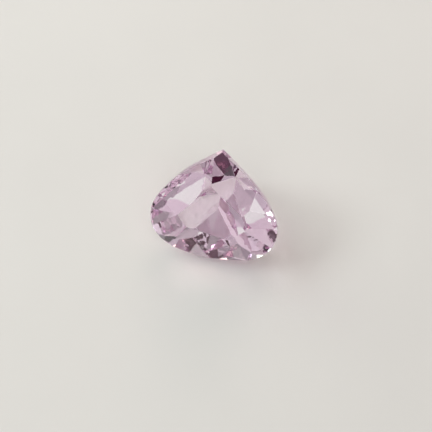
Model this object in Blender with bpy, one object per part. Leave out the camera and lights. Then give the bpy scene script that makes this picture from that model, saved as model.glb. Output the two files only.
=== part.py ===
# Faceted kunzite: a loose cut gem, rounded triangle in outline with one sharp tip, lying on a pavilion facet.
# The gem is cut with its table facing +Z and its tip towards +Y, then tipped over onto the facet it rests on.
# Lengths are in metres and angles in degrees. A facet's bearing is measured round the girdle from the tip.

from collections import namedtuple
from math import atan2, cos, degrees, radians, sin, sqrt

import bmesh
import bpy
from mathutils import Matrix, Vector

# Girdle outline: two long side arcs meet in the tip, two corner arcs and a flat arc close the head.
# The gem was shaped by hand, so its right and left halves differ a little.
GEM_WIDTH = 0.0135
TIP_REACH = 0.53 * GEM_WIDTH
HEAD_REACH = 0.36 * GEM_WIDTH
Half = namedtuple("Half", "half_width widest_drop corner_radius side_radius")
RIGHT = Half(0.513 * GEM_WIDTH, 0.07 * GEM_WIDTH, 0.26 * GEM_WIDTH, 1.20 * GEM_WIDTH)
LEFT = Half(0.487 * GEM_WIDTH, 0.05 * GEM_WIDTH, 0.27 * GEM_WIDTH, 1.15 * GEM_WIDTH)

# Heights above and below the middle of the girdle
GIRDLE_THICKNESS = 0.05 * GEM_WIDTH
CROWN_HEIGHT = 0.15 * GEM_WIDTH

# Girdle facets
GIRDLE_TIP_BEARING = 37
GIRDLE_BEARING_STEP = 6.5

# The pavilion facet that the gem lies on
REST_ANGLE = 48.9

CUTTING_MARGIN = 3.0
MERGE_DISTANCE = 1e-7

# A tier is one ring of facets cut at one angle; up is +1 on the crown and -1 on the pavilion.
# With no setback a facet reaches the girdle. With one it starts further away, beyond the steeper facets between.
Tier = namedtuple("Tier", "bearings angle up setback")


def both_sides(*bearings):
    """The same bearings on the right and the left of the tip, with 180 cut once."""
    left = [-bearing for bearing in bearings if bearing != 180]
    return [*bearings, *left]


def from_head(start, step, count):
    """Evenly stepped bearings on both sides, from near the middle of the head towards the tip."""
    return both_sides(*[180 - start - step * turn for turn in range(count)])


TIERS = [
    # Crown mains, from the tip to the head
    Tier([38], 36, 1, 0),
    Tier([-51], 37, 1, 0),
    Tier([64, -72], 37, 1, 0),
    Tier([92, -100], 32, 1, 0),
    Tier([140, -134], 27, 1, 0),
    Tier([-171.5], 28, 1, 0),
    # Steeper crown facets against the girdle, along the sides and round the head
    Tier(both_sides(55, 80, 104), 42, 1, 0),
    Tier(both_sides(127.4, 150.4, 172.4), 46.7, 1, 0),
    # Pavilion mains, from the tip to the head
    Tier([45], 54.4, -1, -0.005 * GEM_WIDTH),
    Tier([-52.5], 52.6, -1, -0.005 * GEM_WIDTH),
    Tier([76.7, -89.6], 46.4, -1, 0),
    Tier([118.1, -114.2], 42.2, -1, -0.01 * GEM_WIDTH),
    Tier([154.2, -161.8], 57.8, -1, 0.053 * GEM_WIDTH),
    Tier([180], REST_ANGLE, -1, 0.046 * GEM_WIDTH),
    # Smaller pavilion facets round the head, then the ones against the girdle
    Tier(from_head(8, 16.3, 5), 54.8, -1, 0.013 * GEM_WIDTH),
    Tier(from_head(12, 11.4, 6), 56.9, -1, 0),
    Tier(both_sides(38, 58, 76, 94), 70, -1, 0),
]


def outline_arcs(half):
    """One half's side, corner and head arcs as centre, radius and the bearing where each one ends."""
    corner = Vector((half.half_width - half.corner_radius, -half.widest_drop))
    # The head arc passes the bottom of the outline and touches the corner arc from outside
    drop = HEAD_REACH - half.widest_drop
    head_radius = (corner.x**2 + drop**2 - half.corner_radius**2) / (2 * (drop - half.corner_radius))
    head = Vector((0, head_radius - HEAD_REACH))
    # The side arc passes the tip and touches the corner arc from outside
    tip = Vector((0, TIP_REACH))
    gap = corner - tip
    inner_radius = half.side_radius - half.corner_radius
    along = (half.side_radius**2 - inner_radius**2 + gap.length_squared) / (2 * gap.length)
    across = sqrt(half.side_radius**2 - along**2)
    direction = gap.normalized()
    side = tip + direction * along + Vector((direction.y, -direction.x)) * across
    return [
        (side, half.side_radius, bearing_of(corner - side)),
        (corner, half.corner_radius, bearing_of(corner - head)),
        (head, head_radius, 180),
    ]


def bearing_of(direction):
    return degrees(atan2(direction.x, direction.y))


def reach(bearing):
    """How far the outline's tangent with this bearing lies from the gem's centre."""
    half = RIGHT if bearing >= 0 else LEFT
    turn = abs(bearing)
    outward = Vector((sin(radians(turn)), cos(radians(turn))))
    for centre, radius, last_bearing in outline_arcs(half):
        if turn <= last_bearing:
            return centre.dot(outward) + radius
    return HEAD_REACH


def facet_plane(bearing, tier):
    """A point on the facet and its outward normal."""
    outward = Vector((sin(radians(bearing)), cos(radians(bearing)), 0))
    normal = outward * sin(radians(tier.angle)) + Vector((0, 0, tier.up * cos(radians(tier.angle))))
    girdle_edge = Vector((0, 0, tier.up * GIRDLE_THICKNESS / 2))
    point = outward * (reach(bearing) + tier.setback) + girdle_edge
    return point, normal


def girdle_planes():
    """Upright facets all the way round, closest to the tip first."""
    upright = Tier([], 90, 1, 0)
    steps = int((180 - GIRDLE_TIP_BEARING) / GIRDLE_BEARING_STEP)
    bearings = [GIRDLE_TIP_BEARING + GIRDLE_BEARING_STEP * step for step in range(steps + 1)]
    return [facet_plane(bearing, upright) for bearing in both_sides(*bearings)]


def all_planes():
    table = (Vector((0, 0, GIRDLE_THICKNESS / 2 + CROWN_HEIGHT)), Vector((0, 0, 1)))
    faceted = [facet_plane(bearing, tier) for tier in TIERS for bearing in tier.bearings]
    return [table, *girdle_planes(), *faceted]


def cut_facet(gem, point, normal):
    """Grind away everything outside one plane and close the cut with a flat facet."""
    everything = gem.verts[:] + gem.edges[:] + gem.faces[:]
    cut = bmesh.ops.bisect_plane(
        gem, geom=everything, dist=MERGE_DISTANCE, plane_co=point, plane_no=normal, clear_outer=True
    )
    rim = [item for item in cut["geom_cut"] if isinstance(item, bmesh.types.BMEdge)]
    if len(rim) > 2:
        bmesh.ops.edgenet_fill(gem, edges=rim)


def cut_gem():
    gem = bmesh.new()
    bmesh.ops.create_cube(gem, size=CUTTING_MARGIN * GEM_WIDTH)
    for point, normal in all_planes():
        cut_facet(gem, point, normal)
    bmesh.ops.remove_doubles(gem, verts=gem.verts, dist=MERGE_DISTANCE)
    bmesh.ops.recalc_face_normals(gem, faces=gem.faces)
    return gem


def lay_down(gem):
    """Tip the gem onto its rest facet and put the origin under the middle of it, on the surface."""
    bmesh.ops.rotate(gem, verts=gem.verts, matrix=Matrix.Rotation(radians(REST_ANGLE), 3, "X"))
    sides = [vertex.co.x for vertex in gem.verts]
    backs = [vertex.co.y for vertex in gem.verts]
    heights = [vertex.co.z for vertex in gem.verts]
    middle = Vector((min(sides) + max(sides), min(backs) + max(backs), 2 * min(heights))) / 2
    bmesh.ops.translate(gem, verts=gem.verts, vec=-middle)


def kunzite_material():
    material = bpy.data.materials.new("kunzite_lilac")
    material.use_nodes = True
    surface = material.node_tree.nodes["Principled BSDF"]
    surface.inputs["Base Color"].default_value = (0.80, 0.62, 0.78, 1)
    surface.inputs["Roughness"].default_value = 0.02
    surface.inputs["Metallic"].default_value = 0
    surface.inputs["IOR"].default_value = 1.66
    surface.inputs["Transmission Weight"].default_value = 1
    return material


def main():
    for leftover in list(bpy.data.objects):
        bpy.data.objects.remove(leftover)
    gem = cut_gem()
    lay_down(gem)
    mesh = bpy.data.meshes.new("kunzite_gem")
    gem.to_mesh(mesh)
    gem.free()
    mesh.materials.append(kunzite_material())
    piece = bpy.data.objects.new("kunzite_gem", mesh)
    collection = bpy.data.collections.new("kunzite")
    bpy.context.scene.collection.children.link(collection)
    collection.objects.link(piece)


main()
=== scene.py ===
# Cut kunzite, pale lilac: finish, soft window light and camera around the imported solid
import math

import bmesh
import bpy
from mathutils import Matrix, Vector


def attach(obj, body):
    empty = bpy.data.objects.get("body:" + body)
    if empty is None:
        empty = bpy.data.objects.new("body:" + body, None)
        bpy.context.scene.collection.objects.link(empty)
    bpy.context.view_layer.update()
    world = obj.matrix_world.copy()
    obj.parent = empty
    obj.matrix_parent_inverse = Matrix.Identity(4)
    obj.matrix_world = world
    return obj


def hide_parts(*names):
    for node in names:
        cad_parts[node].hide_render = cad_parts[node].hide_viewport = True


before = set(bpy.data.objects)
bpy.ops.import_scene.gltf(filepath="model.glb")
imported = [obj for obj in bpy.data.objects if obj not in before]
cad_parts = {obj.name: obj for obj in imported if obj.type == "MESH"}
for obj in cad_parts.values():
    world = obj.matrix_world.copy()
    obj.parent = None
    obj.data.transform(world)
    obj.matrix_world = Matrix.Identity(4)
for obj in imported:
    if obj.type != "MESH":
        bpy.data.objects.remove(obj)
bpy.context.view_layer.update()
print("Stage 1: packed solid loaded")


# Shader helpers

def newMaterial(name):
    material = bpy.data.materials.new(name)
    material.use_nodes = True
    return material, material.node_tree, material.node_tree.nodes["Principled BSDF"]


def addNode(tree, kind, **settings):
    node = tree.nodes.new(kind)
    for name, value in settings.items():
        setattr(node, name, value)
    return node


def setOrLink(tree, socket, value):
    if isinstance(value, bpy.types.NodeSocket):
        tree.links.new(value, socket)
    else:
        socket.default_value = value


def mathNode(tree, operation, *values):
    node = addNode(tree, "ShaderNodeMath", operation=operation)
    for socket, value in zip(node.inputs, values):
        setOrLink(tree, socket, value)
    return node.outputs[0]


def rampMask(tree, value, low, high):
    node = addNode(tree, "ShaderNodeMapRange", interpolation_type="SMOOTHSTEP")
    for name, setting in (("Value", value), ("From Min", low), ("From Max", high)):
        setOrLink(tree, node.inputs[name], setting)
    return node.outputs["Result"]


def mixColours(tree, factor, first, second):
    node = addNode(tree, "ShaderNodeMix", data_type="RGBA")
    for name, value in (("Factor_Float", factor), ("A_Color", first), ("B_Color", second)):
        socket = next(s for s in node.inputs if s.identifier == name)
        setOrLink(tree, socket, value)
    return next(s for s in node.outputs if s.identifier == "Result_Color")


def noiseFactor(tree, position, scale, detail):
    noise = addNode(tree, "ShaderNodeTexNoise")
    setOrLink(tree, noise.inputs["Vector"], position)
    setOrLink(tree, noise.inputs["Scale"], scale)
    noise.inputs["Detail"].default_value = detail
    return noise.outputs["Fac"]


def stretched(tree, position, scale, turn):
    mapping = addNode(tree, "ShaderNodeMapping")
    tree.links.new(position, mapping.inputs["Vector"])
    mapping.inputs["Scale"].default_value = scale
    mapping.inputs["Rotation"].default_value = [math.radians(angle) for angle in turn]
    return mapping.outputs["Vector"]


def startGroup(name, inputs, outputs):
    group = bpy.data.node_groups.new(name, "ShaderNodeTree")
    for socketName, (kind, value) in inputs.items():
        socket = group.interface.new_socket(socketName, in_out="INPUT", socket_type=kind)
        if value is not None:
            socket.default_value = value
    for socketName, kind in outputs.items():
        group.interface.new_socket(socketName, in_out="OUTPUT", socket_type=kind)
    return group, group.nodes.new("NodeGroupInput").outputs, group.nodes.new("NodeGroupOutput").inputs


def placeGroup(tree, group, **values):
    node = addNode(tree, "ShaderNodeGroup", node_tree=group)
    for name, value in values.items():
        setOrLink(tree, node.inputs[name], value)
    return node.outputs


# Effects that both the gem and the table top use

def makeSurfaceGrain():
    # Small pits and bumps of a ground or fibrous surface, sized in grains per metre
    number, vector = "NodeSocketFloat", "NodeSocketVector"
    timesFiner, fineShare = 3.3, 0.4
    group, given, result = startGroup(
        "surfaceGrain",
        {"Position": (vector, None), "Grains": (number, 5000.0), "Depth": (number, 0.00001)},
        {"Mask": number, "Normal": vector},
    )
    coarse = noiseFactor(group, given["Position"], given["Grains"], detail=4.0)
    fineGrains = mathNode(group, "MULTIPLY", given["Grains"], timesFiner)
    fine = noiseFactor(group, given["Position"], fineGrains, detail=2.0)
    height = mathNode(group, "ADD", coarse, mathNode(group, "MULTIPLY", fine, fineShare))
    bump = addNode(group, "ShaderNodeBump")
    bump.inputs["Strength"].default_value = 1.0
    group.links.new(given["Depth"], bump.inputs["Distance"])
    group.links.new(height, bump.inputs["Height"])
    group.links.new(rampMask(group, coarse, low=0.35, high=0.65), result["Mask"])
    group.links.new(bump.outputs["Normal"], result["Normal"])
    return group


def makeSoftMottle():
    # Slow, cloudy change of tone, sized in patches per metre
    number, vector = "NodeSocketFloat", "NodeSocketVector"
    group, given, result = startGroup(
        "softMottle",
        {"Position": (vector, None), "Patches": (number, 300.0)},
        {"Factor": number},
    )
    clouds = noiseFactor(group, given["Position"], given["Patches"], detail=3.0)
    group.links.new(rampMask(group, clouds, low=0.3, high=0.7), result["Factor"])
    return group


surfaceGrain = makeSurfaceGrain()
softMottle = makeSoftMottle()
print("Stage 2: shared effects made")


# Kunzite gem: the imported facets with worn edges

gemLooks = {
    "edgeWidth": 0.00002,         # metres worn off each facet edge
    "ior": 1.66,
    "absorption": (0.81, 0.61, 0.77),
    "absorptionPerMetre": 58.0,
    "tint": (1.0, 0.985, 1.0, 1),
    "bandTint": (0.97, 0.90, 0.97, 1),
    "bandsPerMetre": 420.0,
    "bandStretch": (1.0, 0.25, 0.6),
    "bandTurn": (20, 0, 35),      # degrees
    "polish": 0.0,                # roughness of a clean facet
    "hairsPerMetre": 9000.0,
    "hairStretch": (1.0, 0.03, 1.0),
    "hairTurn": (10, 25, 40),
    "hairsFrom": 0.70,            # scratches show where the noise passes from here
    "hairsTo": 0.78,              # up to here
    "scratchRoughness": 0.12,
    "edgeGrainsPerMetre": 9000.0,
    "edgeRoughness": 0.2,
    "wavesPerMetre": 1200.0,
    "waveDepth": 0.000008,
}


def facetedMesh(node):
    # The imported triangles go back to flat facets before their edges are worn
    weldDistance, flatAngle = 0.000001, math.radians(0.3)
    shape = bmesh.new()
    shape.from_mesh(node.data)
    bmesh.ops.remove_doubles(shape, verts=shape.verts, dist=weldDistance)
    bmesh.ops.dissolve_limit(shape, angle_limit=flatAngle, verts=shape.verts, edges=shape.edges)
    edge = shape.faces.layers.float.new("facetEdge")
    worn = bmesh.ops.bevel(shape, geom=shape.edges[:], offset=gemLooks["edgeWidth"], segments=1,
                           profile=0.5, affect="EDGES", clamp_overlap=True)
    for face in worn["faces"]:
        face[edge] = 1.0
    for face in shape.faces:
        face.smooth = False
    mesh = bpy.data.meshes.new("facetedKunzite")
    shape.to_mesh(mesh)
    shape.free()
    return mesh


def kunziteMaterial():
    material, tree, surface = newMaterial("palelilacKunzite")
    looks = gemLooks
    position = addNode(tree, "ShaderNodeTexCoord").outputs["Object"]
    edge = addNode(tree, "ShaderNodeAttribute", attribute_name="facetEdge").outputs["Fac"]
    # Faint growth bands in the colour, across the crystal that the gem was cut from
    across = stretched(tree, position, looks["bandStretch"], looks["bandTurn"])
    bands = placeGroup(tree, softMottle, Position=across, Patches=looks["bandsPerMetre"])["Factor"]
    tree.links.new(mixColours(tree, bands, looks["tint"], looks["bandTint"]), surface.inputs["Base Color"])
    # Hairline scratches of a stone that has been handled
    drawnOut = stretched(tree, position, looks["hairStretch"], looks["hairTurn"])
    hairs = noiseFactor(tree, drawnOut, looks["hairsPerMetre"], detail=1.0)
    scratch = rampMask(tree, hairs, looks["hairsFrom"], looks["hairsTo"])
    grain = placeGroup(tree, surfaceGrain, Position=position, Grains=looks["edgeGrainsPerMetre"])
    scratchPart = mathNode(tree, "MULTIPLY", scratch, looks["scratchRoughness"])
    wornEdge = mathNode(tree, "MULTIPLY", edge, grain["Mask"])
    edgePart = mathNode(tree, "MULTIPLY", wornEdge, looks["edgeRoughness"])
    worst = mathNode(tree, "MAXIMUM", scratchPart, edgePart)
    tree.links.new(mathNode(tree, "ADD", worst, looks["polish"]), surface.inputs["Roughness"])
    # Facets polished by hand are never quite flat, which breaks the inner reflections up a little
    waves = addNode(tree, "ShaderNodeBump")
    waves.inputs["Strength"].default_value = 1.0
    waves.inputs["Distance"].default_value = looks["waveDepth"]
    ripple = noiseFactor(tree, position, looks["wavesPerMetre"], detail=0.0)
    tree.links.new(ripple, waves.inputs["Height"])
    tree.links.new(waves.outputs["Normal"], surface.inputs["Normal"])
    surface.inputs["Metallic"].default_value = 0.0
    surface.inputs["IOR"].default_value = looks["ior"]
    surface.inputs["Transmission Weight"].default_value = 1.0
    absorber = addNode(tree, "ShaderNodeVolumeAbsorption")
    absorber.inputs["Color"].default_value = (*looks["absorption"], 1)
    absorber.inputs["Density"].default_value = looks["absorptionPerMetre"]
    tree.links.new(absorber.outputs["Volume"], tree.nodes["Material Output"].inputs["Volume"])
    return material


gem = bpy.data.objects.new("facetedKunzite", facetedMesh(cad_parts["kunzite_gem"]))
bpy.context.scene.collection.objects.link(gem)
gem.data.materials.append(kunziteMaterial())
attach(gem, "root")
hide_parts("kunzite_gem")
print("Stage 3: gem finished,", len(gem.data.polygons), "faces")


# Plain pale table top

tableTop = {
    "halfSize": 0.6,
    "gap": 0.00002,               # the gem stands this far clear of it
    "paper": (0.78, 0.757, 0.765, 1),
    "shade": (0.765, 0.742, 0.75, 1),
    "patchesPerMetre": 60.0,
    "grainsPerMetre": 2500.0,
    "grainDepth": 0.00001,
    "roughness": 0.9,
    "sheen": 0.1,
}


def makeTableTop():
    shape = bmesh.new()
    bmesh.ops.create_grid(shape, x_segments=1, y_segments=1, size=tableTop["halfSize"])
    mesh = bpy.data.meshes.new("paleTableTop")
    shape.to_mesh(mesh)
    shape.free()
    top = bpy.data.objects.new("paleTableTop", mesh)
    top.location.z = -tableTop["gap"]
    bpy.context.scene.collection.objects.link(top)
    material, tree, surface = newMaterial("matPalePaper")
    position = addNode(tree, "ShaderNodeTexCoord").outputs["Object"]
    tone = placeGroup(tree, softMottle, Position=position, Patches=tableTop["patchesPerMetre"])["Factor"]
    colour = mixColours(tree, tone, tableTop["paper"], tableTop["shade"])
    tree.links.new(colour, surface.inputs["Base Color"])
    grain = placeGroup(tree, surfaceGrain, Position=position, Grains=tableTop["grainsPerMetre"],
                       Depth=tableTop["grainDepth"])
    tree.links.new(grain["Normal"], surface.inputs["Normal"])
    surface.inputs["Roughness"].default_value = tableTop["roughness"]
    surface.inputs["Specular IOR Level"].default_value = tableTop["sheen"]
    mesh.materials.append(material)


makeTableTop()
print("Stage 4: table top laid")


# Camera: looks steeply down on the gem, the tip up the frame

view = {
    "azimuth": 11.1,              # degrees round from the front, to the right
    "elevation": 67.0,
    "distance": 0.1667,
    "lens": 135.0,
    "sensor": 36.0,
    "nearest": 0.001,
    "tipRight": 0.00074,          # metres from the picture's centre to the tip
    "tipUp": 0.00687,
}


def placeCamera():
    azimuth, elevation = math.radians(view["azimuth"]), math.radians(view["elevation"])
    back = Vector((math.sin(azimuth) * math.cos(elevation), -math.cos(azimuth) * math.cos(elevation),
                   math.sin(elevation)))
    right = Vector((math.cos(azimuth), math.sin(azimuth), 0))
    up = back.cross(right)
    # The tip is the corner that lies furthest up and back
    corners = [vertex.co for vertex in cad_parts["kunzite_gem"].data.vertices]
    tip = max(corners, key=lambda spot: spot.y + spot.z)
    camera = bpy.data.objects.new("camera", bpy.data.cameras.new("camera"))
    camera.data.lens = view["lens"]
    camera.data.sensor_width = view["sensor"]
    camera.data.clip_start = view["nearest"]
    camera.location = tip - right * view["tipRight"] - up * view["tipUp"] + back * view["distance"]
    camera.rotation_euler = Matrix((right, up, back)).transposed().to_euler()
    bpy.context.scene.collection.objects.link(camera)
    bpy.context.scene.camera = camera


placeCamera()
print("Stage 5: camera placed")


# Studio: windows on the left and behind, a pale ceiling, and dark furniture on the other sides
# The real room isn't known: these lights were fitted to the light and dark in the photo and then rounded

roomLight = {
    "distance": 0.45,             # metres from the gem to every panel
    "panelCells": (6, 3),         # across and up, enough for a smooth curve
    "leastLight": 0.001,          # keeps a black panel's colour from dividing by nothing
    "mapSize": 128,               # pixels of the room's glow that light is picked from
    # bearing from straight behind, clockwise; height above the table; how quickly it fades; light it gives
    "rightGlow": (120, 0, 1.0, (1.04, 1.01, 1.0)),
    "leftGlow": (-90, 60, 2.0, (0.95, 0.91, 0.88)),
}
panels = {
    # bearing and height of the middle, width and height in degrees, light it gives
    "leftWindow": (-62, 38, 26, 14, (4.0, 5.0, 4.8)),
    "farLeftWindow": (-90, 36, 24, 14, (10.0, 10.8, 10.2)),
    "lowWindow": (-60, 22, 30, 16, (3.0, 3.6, 2.6)),
    "backWindow": (0, 30, 30, 32, (3.7, 2.9, 2.5)),
    "frontCeiling": (157, 54, 90, 16, (0.96, 1.13, 0.95)),
    "darkRight": (90, 46, 36, 32, (0.0, 0.0, 0.0)),
    "darkFront": (135, 15, 60, 30, (0.05, 0.0, 0.02)),
    "darkLeft": (-120, 7, 30, 14, (0.12, 0.07, 0.09)),
}


def directionTo(bearing, height):
    turn, rise = math.radians(bearing), math.radians(height)
    return Vector((math.sin(turn) * math.cos(rise), math.cos(turn) * math.cos(rise), math.sin(rise)))


def addPanel(name):
    # A curved sheet round the gem that shines, or that only keeps the room's glow away
    bearing, height, across, up, glow = panels[name]
    cellsAcross, cellsUp = roomLight["panelCells"]
    shape = bmesh.new()
    bmesh.ops.create_grid(shape, x_segments=cellsAcross, y_segments=cellsUp, size=0.5)
    for vertex in shape.verts:
        direction = directionTo(bearing + vertex.co.x * across, height + vertex.co.y * up)
        vertex.co = direction * roomLight["distance"]
    mesh = bpy.data.meshes.new(name)
    shape.to_mesh(mesh)
    shape.free()
    panel = bpy.data.objects.new(name, mesh)
    panel.visible_camera = False
    material, tree, surface = newMaterial("mat" + name[0].upper() + name[1:])
    strength = max(max(glow), roomLight["leastLight"])
    surface.inputs["Base Color"].default_value = (0.0, 0.0, 0.0, 1)
    surface.inputs["Roughness"].default_value = 1.0
    surface.inputs["Specular IOR Level"].default_value = 0.0
    surface.inputs["Emission Color"].default_value = [part / strength for part in glow] + [1]
    surface.inputs["Emission Strength"].default_value = strength
    mesh.materials.append(material)
    bpy.context.scene.collection.objects.link(panel)


def addGlow(tree, direction, name):
    # Brightest towards one direction and fading out a quarter turn away from it
    bearing, height, fading, colour = roomLight[name]
    facing = addNode(tree, "ShaderNodeVectorMath", operation="DOT_PRODUCT")
    tree.links.new(direction, facing.inputs[0])
    facing.inputs[1].default_value = directionTo(bearing, height)
    share = mathNode(tree, "POWER", mathNode(tree, "MAXIMUM", facing.outputs["Value"], 0.0), fading)
    tinted = addNode(tree, "ShaderNodeVectorMath", operation="SCALE")
    tinted.inputs[0].default_value = colour
    tree.links.new(share, tinted.inputs["Scale"])
    return tinted.outputs["Vector"]


def lightRoom():
    world = bpy.data.worlds.new("room")
    bpy.context.scene.world = world
    world.use_nodes = True
    tree = world.node_tree
    direction = addNode(tree, "ShaderNodeTexCoord").outputs["Generated"]
    both = addNode(tree, "ShaderNodeVectorMath", operation="ADD")
    tree.links.new(addGlow(tree, direction, "rightGlow"), both.inputs[0])
    tree.links.new(addGlow(tree, direction, "leftGlow"), both.inputs[1])
    tree.links.new(both.outputs["Vector"], tree.nodes["Background"].inputs["Color"])
    world.cycles.sampling_method = "MANUAL"
    world.cycles.sample_map_resolution = roomLight["mapSize"]


for panelName in panels:
    addPanel(panelName)
lightRoom()
print("Stage 6: lights set")


# Light paths long enough for the gem's inner reflections

renderLooks = {"bounces": 32, "diffuseBounces": 3, "clearBounces": 28, "clamp": 6.0}


def setLightPaths():
    scene = bpy.context.scene
    scene.cycles.max_bounces = renderLooks["bounces"]
    scene.cycles.diffuse_bounces = renderLooks["diffuseBounces"]
    scene.cycles.glossy_bounces = renderLooks["clearBounces"]
    scene.cycles.transmission_bounces = renderLooks["clearBounces"]
    scene.cycles.caustics_reflective = True
    scene.cycles.caustics_refractive = True
    scene.cycles.blur_glossy = 0.0
    scene.cycles.sample_clamp_indirect = renderLooks["clamp"]
    scene.cycles.use_denoising = True
    scene.view_settings.view_transform = "Standard"


setLightPaths()
